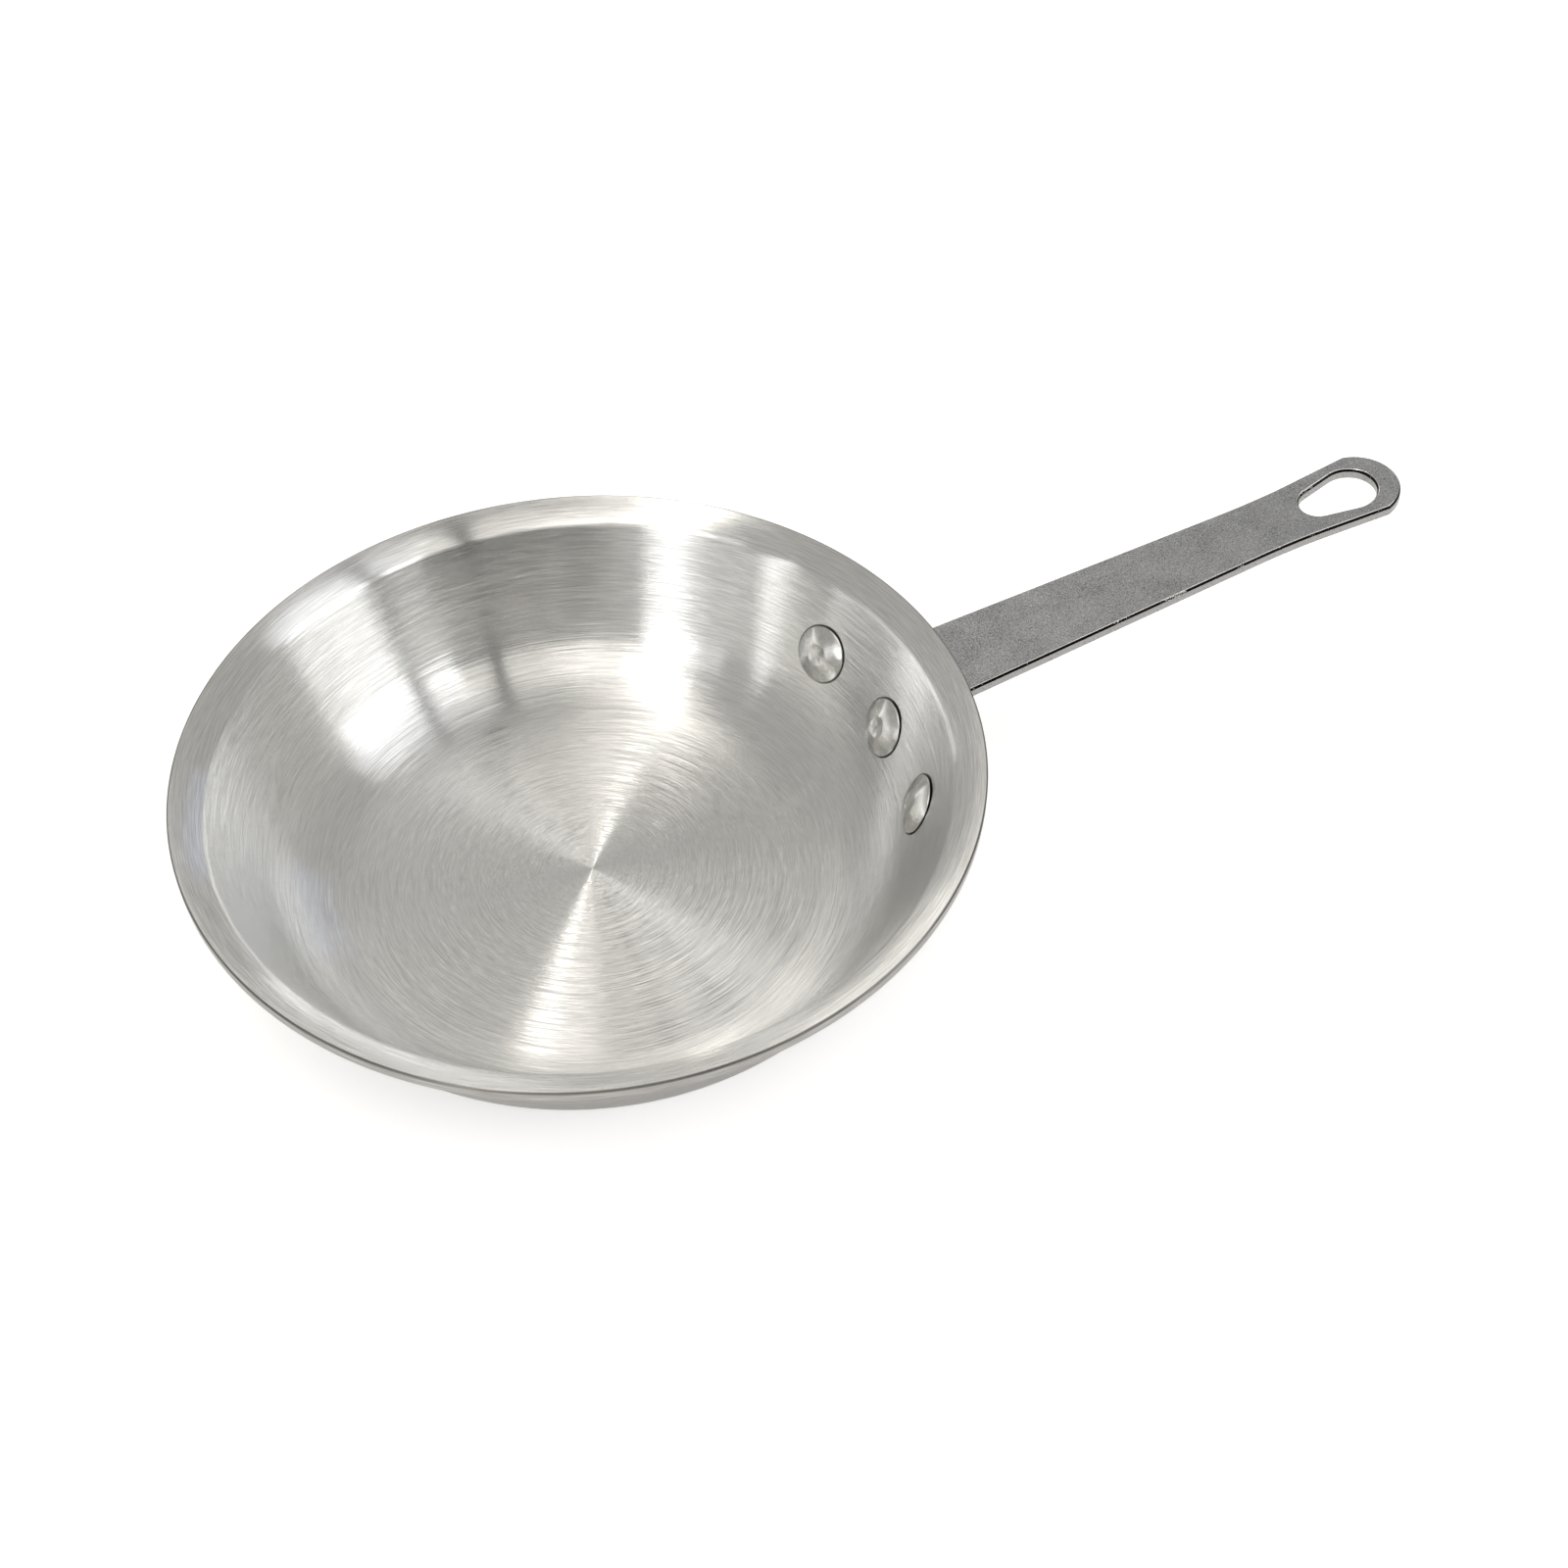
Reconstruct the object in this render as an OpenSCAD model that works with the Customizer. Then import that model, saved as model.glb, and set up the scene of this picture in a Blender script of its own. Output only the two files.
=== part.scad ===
// Omelette pan: a spun aluminium bowl with a flared lip, and a flat plated steel
// handle riveted to the outside of its wall.
// Millimetres. The origin is the centre of the underside, where the pan stands.
// +Z is up, and the handle points along +X.

/* [Pan] */
// Diameter over the rim
rim_d = 203; // [180:1:305]
// Height of the rim above the surface that the pan stands on
pan_h = 46.8; // [42:0.1:60]
// Thickness of the aluminium sheet
metal_t = 3; // [2:0.1:4]
// Lean of the wall from upright, in degrees
wall_lean = 24.2; // [15:0.1:30]
// Radius between floor and wall, on the inside
floor_corner_r = 25; // [12:0.5:27]

/* [Lip] */
// Width of the lip, from the crease to the rim
lip_reach = 8.1; // [6:0.1:11]
// Height that the lip gains over its width
lip_rise = 4.1; // [2.5:0.1:5]
// Height of the lip's bow above the straight line from crease to rim
lip_crown = 0.6; // [0.1:0.05:0.9]
// Bend radius of the crease, on its underside
crease_r = 1; // [0.5:0.1:2]
// Rounding of the rim's edge
rim_edge_r = 0.35; // [0.1:0.05:0.9]

/* [Handle foot] */
// Thickness of the steel strap
strap_t = 3.2; // [2.5:0.1:4]
// Height of the foot that the rivets go through
foot_h = 22; // [18:0.5:24]
// Width of the strap under the rim
root_w = 25.6; // [20:0.2:30]
// Radius in the corners between foot and strap
root_fillet_r = 6; // [2:0.5:8]
// Inside radius of the bend under the lip
bend_r = 3.2; // [2:0.1:5]

/* [Handle arm] */
// Rise of the arm, in degrees
arm_slope = 9; // [4:0.5:16]
// Depth of the arm's top face below the rim, straight under the rim's edge
arm_drop = 5.7; // [5.4:0.1:8]
// Length of the arm from the rim to its tip, along its slope
arm_reach = 137; // [100:1:200]
// Width where the taper of the arm meets the flare of its end
waist_w = 19.2; // [16:0.2:20]
// Distance from the waist to the tip
waist_to_tip = 37; // [33:0.5:45]
// Radius that blends taper and flare at the waist
waist_blend_r = 200; // [60:5:250]
// Width of the flared end
end_w = 23.4; // [22:0.2:24]
// Radius of the rounded tip
tip_r = 12.2; // [12.1:0.1:14]

/* [Eye] */
// Width of the eye at its wide end, near the tip
eye_wide_d = 14.9; // [10:0.1:16]
// Width of the eye at its narrow end
eye_narrow_d = 10.6; // [6:0.1:12]
// Distance between the centres of the two ends
eye_pitch = 9.5; // [6:0.1:14]
// Steel left between the eye and the tip
eye_to_tip = 6.5; // [4:0.1:9]

/* [Rivets] */
// Turn about the pan's axis from one rivet to the next, in degrees
rivet_step = 21; // [18:0.5:24]
// Depth of the middle rivet's centre below the rim, on the inside of the wall
rivet_depth = 24.2; // [23:0.1:27]
// Diameter of the head inside the pan
head_d = 15.9; // [12:0.1:18]
// Height of the head at its crown
head_h = 2.8; // [2:0.1:4]
// Height of the head's upright edge
head_edge_h = 0.7; // [0.5:0.1:1.2]
// Diameter of the dish in the middle of the head
dish_d = 6; // [3:0.1:8]
// Depth of the dish below the crown
dish_depth = 0.4; // [0.1:0.05:0.6]
// Diameter of the shank
shank_d = 6.4; // [5:0.1:8]
// Diameter of the closed end on the outside of the foot
tail_d = 12.6; // [10:0.1:15]
// Height of the closed end
tail_h = 2.4; // [1.6:0.1:3]
// Rounding of the closed end's edge
tail_edge_r = 1.2; // [0.4:0.1:1.4]

/* [Fits] */
// Gap between faces that are pressed together
seat_gap = 0.05; // [0.03:0.01:0.1]
// Gap round a shank in its holes
shank_gap = 0.05; // [0.03:0.01:0.1]

/* [Hidden] */
// Largest turn, in degrees, of one chord of a bend
arc_step = 4;
$fn = 72;
// How far a cutting or trimming shape runs past what it cuts
overrun = 1;

rim_r = rim_d / 2;
crease = [rim_r - lip_reach, pan_h - lip_rise];
lip_half = norm([lip_reach, lip_rise]) / 2;
lip_up = [-lip_rise, lip_reach] / (2 * lip_half);
lip_middle = crease + [lip_reach, lip_rise] / 2 + lip_up * lip_crown;
// Share of each half of the lip that its bow takes, the rest being left to crease and edge
lip_bow_share = 0.65;
lip_bow_r = lip_bow_share * lip_half * lip_half / lip_crown;
floor_corner_x = crease[0] - (crease[1] - metal_t) * tan(wall_lean);

// Inside face of floor and wall, as points on the way out from the axis: x, z, bend radius
wall_path = [
    [0, metal_t, 0],
    [floor_corner_x, metal_t, floor_corner_r],
    [crease[0], crease[1], 0]
];
lip_path = [
    [crease[0], crease[1], crease_r + metal_t],
    [lip_middle[0], lip_middle[1], lip_bow_r],
    [rim_r, pan_h, rim_edge_r]
];

// The middle rivet's axis crosses the wall's inside face here
rivet_in = [crease[0] - (rivet_depth - lip_rise) * tan(wall_lean), pan_h - rivet_depth];
// and its outside face here, where the foot is seated
seat = rivet_in + metal_t * [cos(wall_lean), -sin(wall_lean)];
// The row of rivets lies in the plane through the middle rivet's axis,
// so on the leaning wall the other two are a little higher
row_rise = seat[0] * (1 - cos(rivet_step)) * sin(wall_lean)
    / (cos(wall_lean) + sin(wall_lean) * tan(wall_lean) * cos(rivet_step));
row_r = seat[0] + row_rise * tan(wall_lean);
row_half = row_r * sin(rivet_step);

// Where the arm's top face crosses the rim's radius
arm_origin = [rim_r, pan_h - arm_drop];
waist_x = arm_reach - waist_to_tip;
eye_wide_x = arm_reach - eye_to_tip - eye_wide_d / 2;
// Turn from the handle's middle to past the end of its foot
foot_turn = asin((row_half + foot_h / 2 + overrun) / seat[0]);

// The strap's face on the pan's side: along floor and wall, then out along the arm
seat_path = moved(wall_path, metal_t + seat_gap);
bend_x = (seat_path[1][0] + (arm_origin[1] - rim_r * tan(arm_slope) - seat_path[1][1]) * tan(wall_lean))
    / (1 - tan(arm_slope) * tan(wall_lean));
bend_z = arm_origin[1] + (bend_x - rim_r) * tan(arm_slope);
arm_end = arm_origin + (arm_reach + overrun) * [cos(arm_slope), sin(arm_slope)];
strap_path = [
    seat_path[0],
    seat_path[1],
    [bend_x, bend_z, bend_r + strap_t],
    [arm_end[0], arm_end[1], 0]
];

function unit(v) = v / norm(v);

function point(p) = [p[0], p[1]];

function reversed(list) = [for (i = [len(list) - 1 : -1 : 0]) list[i]];

// Unit vector to the right of the way from a to b
function right_of(a, b) = let (d = unit(point(b) - point(a))) [d[1], -d[0]];

// The points that round one corner [x, y, radius] between its neighbours
function corner_arc(before, corner, after) =
    corner[2] == 0 ? [point(corner)] :
    let (
        back = unit(point(before) - point(corner)),
        ahead = unit(point(after) - point(corner)),
        half = acos(back * ahead) / 2,
        centre = point(corner) + unit(back + ahead) * corner[2] / sin(half),
        spoke = point(corner) + back * corner[2] / tan(half) - centre,
        turn = (180 - 2 * half) * sign(ahead[0] * back[1] - ahead[1] * back[0]),
        steps = max(2, ceil(abs(turn) / arc_step))
    )
    [for (k = [0 : steps]) let (a = turn * k / steps)
        centre + [spoke * [cos(a), -sin(a)], spoke * [sin(a), cos(a)]]];

// A closed outline of corners [x, y, radius], each rounded by its arc
function rounded(corners) = let (n = len(corners))
    [for (i = [0 : n - 1]) each
        corner_arc(corners[(i + n - 1) % n], corners[i], corners[(i + 1) % n])];

// An open path moved to its right by d, with its bends kept concentric
function moved(path, d) = let (last = len(path) - 1)
    [for (i = [0 : last]) let (
        n1 = right_of(path[max(i - 1, 0)], path[max(i, 1)]),
        n2 = right_of(path[min(i, last - 1)], path[min(i + 1, last)]),
        shift = (n1 + n2) * d / (1 + n1 * n2),
        radius = path[i][2] == 0 ? 0 : path[i][2] + d * sign(n1 * [n2[1], -n2[0]])
    )
    [path[i][0] + shift[0], path[i][1] + shift[1], radius]];

// Section of the sheet that lies between two distances to the right of a path
function sheet(path, near, far) =
    rounded(concat(moved(path, near), reversed(moved(path, far))));

// Section of the pan: the sheet ends in an upright edge at the rim
function pan_section() = let (
    inside = concat([wall_path[0], wall_path[1]], lip_path),
    outside = moved(inside, metal_t),
    last = len(outside) - 1,
    under_lip = outside[last] - outside[last - 1],
    edge_z = outside[last][1] + (rim_r - outside[last][0]) * under_lip[1] / under_lip[0]
)
rounded(concat(
    inside,
    [[rim_r, edge_z, rim_edge_r]],
    reversed([for (i = [0 : last - 1]) outside[i]])
));

// Outline of neck and arm seen along the arm's normal, from over the rivets to the tip
function arm_outline() = let (
    root_x = seat[0] - rim_r,
    taper = (root_w - waist_w) / waist_x,
    tip_turn = asin(end_w / 2 / tip_r),
    side = [
        [root_x, (root_w - taper * root_x) / 2, 0],
        [waist_x, waist_w / 2, waist_blend_r]
    ],
    tip = [for (a = [tip_turn : -arc_step : -tip_turn])
        [arm_reach - tip_r + tip_r * cos(a), tip_r * sin(a), 0]],
    tip_low = [arm_reach - tip_r + tip_r * cos(tip_turn), -end_w / 2, 0]
)
rounded(concat(side, tip, [tip_low], reversed([for (p = side) [p[0], -p[1], p[2]]])));

// Puts children on a rivet's axis, with z = 0 on the wall's outside face, +Z into the pan
// and +X up the wall. side is -1, 0 or 1 across the handle.
module at_rivet(side) {
    rotate([0, 0, side * rivet_step])
        translate([side == 0 ? seat[0] : row_r, 0, seat[1] + abs(side) * row_rise])
            rotate([0, wall_lean - 90, 0])
                children();
}

// Puts children on the arm, with z = 0 on its top face and x = 0 under the rim's edge
module on_arm() {
    translate([arm_origin[0], 0, arm_origin[1]])
        rotate([0, -arm_slope, 0])
            children();
}

module rivet_holes() {
    hole_length = 2 * (metal_t + seat_gap + strap_t + overrun);
    for (side = [-1 : 1])
        at_rivet(side)
            cylinder(d = shank_d + 2 * shank_gap, h = hole_length, center = true);
}

module pan_body() {
    color("gainsboro")
        difference() {
            rotate_extrude()
                polygon(pan_section());
            rivet_holes();
        }
}

// The strap's sheet as one band turned about the pan's axis, so that its foot hugs the wall.
// Across the arm's width this bows the sheet by no more than about a tenth of a millimetre.
module strap_sheet() {
    rotate_extrude(angle = 2 * foot_turn, start = -foot_turn)
        polygon(sheet(strap_path, 0, strap_t));
}

// Outline of the foot, cut along the middle rivet's axis, with its fillets into the neck
module foot_blank() {
    outward = strap_t + seat_gap + overrun;
    inward = seat[0] * (1 - cos(foot_turn)) + overrun;
    at_rivet(0)
        translate([0, 0, -outward])
            linear_extrude(outward + inward)
                offset(r = -root_fillet_r)
                    offset(delta = root_fillet_r) {
                        hull()
                            for (side = [-1, 1])
                                translate([0, side * row_half])
                                    circle(d = foot_h);
                        translate([0, -root_w / 2])
                            square([foot_h / 2 + root_fillet_r, root_w]);
                    }
}

// Outline of neck and arm, cut along the arm's normal
module arm_blank() {
    on_arm()
        translate([0, 0, -rivet_depth])
            linear_extrude(2 * rivet_depth)
                polygon(arm_outline());
}

module eye() {
    on_arm()
        translate([eye_wide_x, 0, -strap_t - overrun])
            linear_extrude(strap_t + 2 * overrun)
                hull() {
                    circle(d = eye_wide_d);
                    translate([-eye_pitch, 0])
                        circle(d = eye_narrow_d);
                }
}

module handle() {
    color("gray")
        difference() {
            intersection() {
                strap_sheet();
                union() {
                    foot_blank();
                    arm_blank();
                }
            }
            eye();
            rivet_holes();
        }
}

// Head inside the pan: an upright edge, a low dome and a dish in its crown
module rivet_head() {
    dome_h = head_h - head_edge_h;
    dome_r = (pow(head_d / 2, 2) + pow(dome_h, 2)) / (2 * dome_h);
    dish_r = (pow(dish_d / 2, 2) + pow(dish_depth, 2)) / (2 * dish_depth);
    crown_drop = dome_r - sqrt(pow(dome_r, 2) - pow(dish_d / 2, 2));
    translate([0, 0, metal_t])
        difference() {
            intersection() {
                cylinder(d = head_d, h = head_h);
                translate([0, 0, head_h - dome_r])
                    sphere(r = dome_r);
            }
            translate([0, 0, head_h - crown_drop - dish_depth + dish_r])
                sphere(r = dish_r);
        }
}

// Closed end outside the foot, a flat button with a rounded edge
module rivet_tail() {
    rise = seat_gap + overrun;
    bottom = -(seat_gap + strap_t + tail_h);
    rotate_extrude()
        polygon(rounded([
            [0, bottom, 0],
            [tail_d / 2, bottom, tail_edge_r],
            [tail_d / 2, bottom + tail_h + rise, 0],
            [0, bottom + tail_h + rise, 0]
        ]));
}

// Both ends are trimmed to the curved faces that they are pressed against
module rivet(side) {
    strap_out = metal_t + seat_gap + strap_t;
    color("silver")
        union() {
            difference() {
                at_rivet(side) {
                    rivet_head();
                    rivet_tail();
                }
                rotate_extrude()
                    polygon(sheet(wall_path, -seat_gap, strap_out + seat_gap));
            }
            at_rivet(side)
                translate([0, 0, -(seat_gap + strap_t + tail_h / 2)])
                    cylinder(d = shank_d, h = strap_out + (head_edge_h + tail_h) / 2);
        }
}

pan_body();
handle();
rivet(-1);  // rivet_left
rivet(0);  // rivet_middle
rivet(1);  // rivet_right
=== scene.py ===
"""Omelette pan: a circular brushed aluminium bowl, and a plated steel strap riveted under its lip."""

import math

import bmesh
import bpy
from mathutils import Matrix, Vector
from mathutils.geometry import delaunay_2d_cdt


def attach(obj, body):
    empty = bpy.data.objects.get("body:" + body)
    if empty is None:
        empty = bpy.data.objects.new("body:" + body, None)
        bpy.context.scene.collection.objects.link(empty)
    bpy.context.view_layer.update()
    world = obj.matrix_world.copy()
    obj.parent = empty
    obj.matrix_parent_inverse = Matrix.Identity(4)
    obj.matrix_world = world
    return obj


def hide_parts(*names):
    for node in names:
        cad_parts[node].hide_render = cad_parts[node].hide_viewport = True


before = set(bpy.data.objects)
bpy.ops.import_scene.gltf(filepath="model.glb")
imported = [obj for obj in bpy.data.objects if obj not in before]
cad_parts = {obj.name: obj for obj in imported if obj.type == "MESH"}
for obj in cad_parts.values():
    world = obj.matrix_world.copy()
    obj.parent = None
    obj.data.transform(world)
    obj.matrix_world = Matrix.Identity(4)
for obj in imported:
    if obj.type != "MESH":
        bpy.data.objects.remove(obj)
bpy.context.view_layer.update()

# One millimetre in metres
MM = 0.001

# Sizes of the object in millimetres, and angles, the same as its construction has
RIM_R, PAN_H, METAL_T, WALL_LEAN, FLOOR_CORNER_R = 101.5, 46.8, 3.0, math.radians(24.2), 25.0
LIP_REACH, LIP_RISE, LIP_CROWN, CREASE_R, RIM_EDGE_R, LIP_BOW_SHARE = 8.1, 4.1, 0.6, 1.0, 0.35, 0.65
STRAP_T, FOOT_H, ROOT_W, ROOT_FILLET_R, BEND_R = 3.2, 22.0, 25.6, 6.0, 3.2
ARM_SLOPE, ARM_DROP, ARM_REACH = math.radians(9), 5.7, 137.0
WAIST_W, WAIST_TO_TIP, WAIST_BLEND_R, END_W, TIP_R = 19.2, 37.0, 200.0, 23.4, 12.2
EYE_WIDE_D, EYE_NARROW_D, EYE_PITCH, EYE_TO_TIP = 14.9, 10.6, 9.5, 6.5
RIVET_STEP, RIVET_DEPTH, HEAD_D, HEAD_H, HEAD_EDGE_H = math.radians(21), 24.2, 15.9, 2.8, 0.7
DISH_D, DISH_DEPTH, SHANK_D, TAIL_D, TAIL_H, TAIL_EDGE_R = 6.0, 0.4, 6.4, 12.6, 2.4, 1.2
SEAT_GAP, SHANK_GAP = 0.05, 0.05

# Rounded and trimmed edges that only the finished surfaces have
EDGE_TOP_R, EDGE_LOW_R = 0.9, 0.35
DISH_EDGE_R, DISH_EDGE_HALF, HEAD_ROUND_R, HEAD_UNDERCUT = 0.4, 0.2, 0.35, 0.35
# The trimmed corner's width also sets the width of the painted shade line along the lip's corner.
TRIM_AND_SHADE_W = 0.5

# How finely the meshes are drawn, in millimetres and in numbers of steps
SAG, OUTLINE_STEP, SECTION_STEP, FACE_MARGIN, EDGE_STEPS = 0.004, 0.8, 2.5, 0.35, 8
FACE_GRID, BEND_GRID, GRID_CLEAR, HOLE_STEPS = 1.6, 0.5, 0.6, 40
DISH_STEPS, DOME_STEPS, SEAT_STEPS, FOOT_STEPS, TAIL_STEP = 14, 30, 4, 3, 1.0
TIP_STEPS, EYE_WIDE_STEPS, EYE_NARROW_STEPS, ARM_STEP = 30, 56, 40, 0.5
ARM_FROM_RIM, LINE_CLEAR, BEND_MARGIN = 2.0, 0.3, 1.0
PAN_SEGMENTS, RIVET_SEGMENTS, DRILL_SIDES, WELD, SOLVE_ROUNDS = 400, 96, 48, 0.01, 4

SIN_L, COS_L, TAN_L = math.sin(WALL_LEAN), math.cos(WALL_LEAN), math.tan(WALL_LEAN)
CREASE = (RIM_R - LIP_REACH, PAN_H - LIP_RISE)
FLOOR_CORNER_X = CREASE[0] - (CREASE[1] - METAL_T) * TAN_L

# The middle rivet's axis crosses the wall's outside face at SEAT. The row is level with that axis,
# so on the leaning wall the other two rivets sit a little higher.
SEAT = (
    CREASE[0] - (RIVET_DEPTH - LIP_RISE) * TAN_L + METAL_T * COS_L,
    PAN_H - RIVET_DEPTH - METAL_T * SIN_L,
)
ROW_RISE = SEAT[0] * (1 - math.cos(RIVET_STEP)) * SIN_L / (COS_L + SIN_L * TAN_L * math.cos(RIVET_STEP))
ROW_R = SEAT[0] + ROW_RISE * TAN_L
ROW_HALF = ROW_R * math.sin(RIVET_STEP)


# Outlines of bent sheet

def unit(v):
    length = math.hypot(*v)
    return (v[0] / length, v[1] / length)


def right_of(a, b):
    """Unit vector to the right of the way from a to b."""
    d = unit((b[0] - a[0], b[1] - a[1]))
    return (d[1], -d[0])


def corner_arc(before, corner, after):
    """The points that round one corner (x, y, radius), with chords that leave the arc by no more than SAG."""
    x, y, radius = corner
    if radius == 0:
        return [(x, y)]
    back = unit((before[0] - x, before[1] - y))
    ahead = unit((after[0] - x, after[1] - y))
    half = math.acos(back[0] * ahead[0] + back[1] * ahead[1]) / 2
    middle = unit((back[0] + ahead[0], back[1] + ahead[1]))
    cx, cy = x + middle[0] * radius / math.sin(half), y + middle[1] * radius / math.sin(half)
    sx, sy = x + back[0] * radius / math.tan(half) - cx, y + back[1] * radius / math.tan(half) - cy
    turn = math.copysign(math.pi - 2 * half, ahead[0] * back[1] - ahead[1] * back[0])
    steps = max(4, math.ceil(abs(turn) / (2 * math.acos(1 - SAG / radius))))
    angles = [turn * k / steps for k in range(steps + 1)]
    return [(cx + sx * math.cos(a) - sy * math.sin(a), cy + sx * math.sin(a) + sy * math.cos(a))
            for a in angles]


def rounded(corners, closed=False):
    """A line of corners (x, y, radius), each one rounded by its arc."""
    n, points = len(corners), []
    for i, corner in enumerate(corners):
        if not closed and i in (0, n - 1):
            points.append(corner[:2])
        else:
            points += corner_arc(corners[i - 1], corner, corners[(i + 1) % n])
    return points


def moved(path, d):
    """An open path of corners moved to its right by d, with its bends kept concentric."""
    last, made = len(path) - 1, []
    for i, (x, y, radius) in enumerate(path):
        n1 = right_of(path[max(i - 1, 0)], path[max(i, 1)])
        n2 = right_of(path[min(i, last - 1)], path[min(i + 1, last)])
        k = d / (1 + n1[0] * n2[0] + n1[1] * n2[1])
        side = n1[0] * n2[1] - n1[1] * n2[0]
        bend = radius + math.copysign(d, side) if radius else 0
        made.append((x + (n1[0] + n2[0]) * k, y + (n1[1] + n2[1]) * k, bend))
    return made


def spaced(points, longest, closed=False):
    """The same line with points added, so that no step is longer than longest."""
    made = []
    for a, b in zip(points, points[1:] + points[:1] if closed else points[1:]):
        if math.dist(a, b) < SAG:
            continue
        n = max(1, math.ceil(math.dist(a, b) / longest))
        made += [tuple(p + (q - p) * k / n for p, q in zip(a, b)) for k in range(n)]
    return made if closed else made + [points[-1]]


def pan_section():
    """Half section of the bowl, from the axis along the inside, over the rim and back along the outside."""
    lip_half = math.hypot(LIP_REACH, LIP_RISE) / 2
    lip_middle = (
        CREASE[0] + LIP_REACH / 2 - LIP_RISE / (2 * lip_half) * LIP_CROWN,
        CREASE[1] + LIP_RISE / 2 + LIP_REACH / (2 * lip_half) * LIP_CROWN,
        LIP_BOW_SHARE * lip_half * lip_half / LIP_CROWN,
    )
    upper = [
        (0, METAL_T, 0), (FLOOR_CORNER_X, METAL_T, FLOOR_CORNER_R), (*CREASE, CREASE_R + METAL_T),
        lip_middle, (RIM_R, PAN_H, RIM_EDGE_R),
    ]
    lower = moved(upper, METAL_T)
    (ax, ay, _), (bx, by, _) = lower[-2:]
    edge_low = (RIM_R, by + (RIM_R - bx) * (by - ay) / (bx - ax), RIM_EDGE_R)
    return spaced(rounded(upper + [edge_low] + lower[-2::-1]), SECTION_STEP)


# One small function for every kind of node

def node(tree, kind, sockets=None, **settings):
    """Adds a node. sockets maps an input's name or number to a value or to another node's output."""
    made = tree.nodes.new(kind)
    for name, value in settings.items():
        setattr(made, name, value)
    for key, value in (sockets or {}).items():
        if isinstance(value, bpy.types.Node):
            value = value.outputs[0]
        if isinstance(value, bpy.types.NodeSocket):
            tree.links.new(value, made.inputs[key])
        else:
            made.inputs[key].default_value = value
    return made


def placed(name, data):
    """A new object in the scene with this data."""
    made = bpy.data.objects.new(name, data)
    bpy.context.scene.collection.objects.link(made)
    return made


def geometry_tree(name, *sockets):
    """A geometry node tree with its named inputs, each (name, kind)."""
    tree = bpy.data.node_groups.new(name, "GeometryNodeTree")
    tree.interface.new_socket("Geometry", in_out="OUTPUT", socket_type="NodeSocketGeometry")
    for label, kind in (("Geometry", "Geometry"), *sockets):
        tree.interface.new_socket(label, in_out="INPUT", socket_type="NodeSocket" + kind)
    return tree, tree.nodes.new("NodeGroupInput").outputs


ROW_SOCKETS = (("Rivet Step", "Float"), ("Seat Radius", "Float"), ("Seat Height", "Float"),
               ("Row Radius", "Float"), ("Row Rise", "Float"), ("Wall Lean", "Float"))
ROW_SIZES = {"Rivet Step": RIVET_STEP, "Seat Radius": SEAT[0] * MM, "Seat Height": SEAT[1] * MM,
             "Row Radius": ROW_R * MM, "Row Rise": ROW_RISE * MM, "Wall Lean": WALL_LEAN}


def rivet_row_tree():
    """Sets three copies of a part in the row: its +Z points into the bowl, and its +X up the wall."""
    tree, given = geometry_tree("rivet_row", *ROW_SOCKETS)
    number = node(tree, "GeometryNodeInputIndex")
    side = node(tree, "ShaderNodeMath", {0: number, 1: 1.0}, operation="SUBTRACT")
    outer = node(tree, "ShaderNodeMath", {0: side}, operation="ABSOLUTE")
    turn = node(tree, "ShaderNodeMath", {0: side, 1: given["Rivet Step"]}, operation="MULTIPLY")
    radius = node(tree, "ShaderNodeMix", {0: outer, 2: given["Seat Radius"], 3: given["Row Radius"]})
    height = node(tree, "ShaderNodeMath", {0: outer, 1: given["Row Rise"], 2: given["Seat Height"]},
                  operation="MULTIPLY_ADD")
    cos = node(tree, "ShaderNodeMath", {0: turn}, operation="COSINE")
    sin = node(tree, "ShaderNodeMath", {0: turn}, operation="SINE")
    place = node(tree, "ShaderNodeCombineXYZ", {
        0: node(tree, "ShaderNodeMath", {0: radius, 1: cos}, operation="MULTIPLY"),
        1: node(tree, "ShaderNodeMath", {0: radius, 1: sin}, operation="MULTIPLY"),
        2: height,
    })
    tilt = node(tree, "ShaderNodeMath", {0: given["Wall Lean"], 1: math.pi / 2}, operation="SUBTRACT")
    facing = node(tree, "FunctionNodeEulerToRotation",
                  {0: node(tree, "ShaderNodeCombineXYZ", {1: tilt, 2: turn})})
    seats = node(tree, "GeometryNodePoints", {"Count": 3, "Position": place})
    row = node(tree, "GeometryNodeStoreNamedAttribute",
               {"Geometry": seats, "Name": "own_seat", "Value": node(tree, "GeometryNodeInputPosition")},
               data_type="FLOAT_VECTOR", domain="POINT")
    copies = node(tree, "GeometryNodeInstanceOnPoints",
                  {"Points": row, "Instance": given["Geometry"], "Rotation": facing})
    node(tree, "NodeGroupOutput", {0: node(tree, "GeometryNodeRealizeInstances", {0: copies})})
    return tree


def turned(tree, section, segments):
    """Nodes that turn a half section, drawn in X and Z, into a closed body round the Z axis."""
    # The sweep's circle is 1 m wide, and the section is drawn that far inside it.
    circle = node(tree, "GeometryNodeCurvePrimitiveCircle", {"Resolution": segments, "Radius": 1.0})
    line = node(tree, "GeometryNodeMeshToCurve", {0: section})
    swept = node(tree, "GeometryNodeCurveToMesh", {0: circle.outputs["Curve"], 1: line})
    return node(tree, "GeometryNodeMergeByDistance", {"Geometry": swept, "Distance": WELD * MM})


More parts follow.
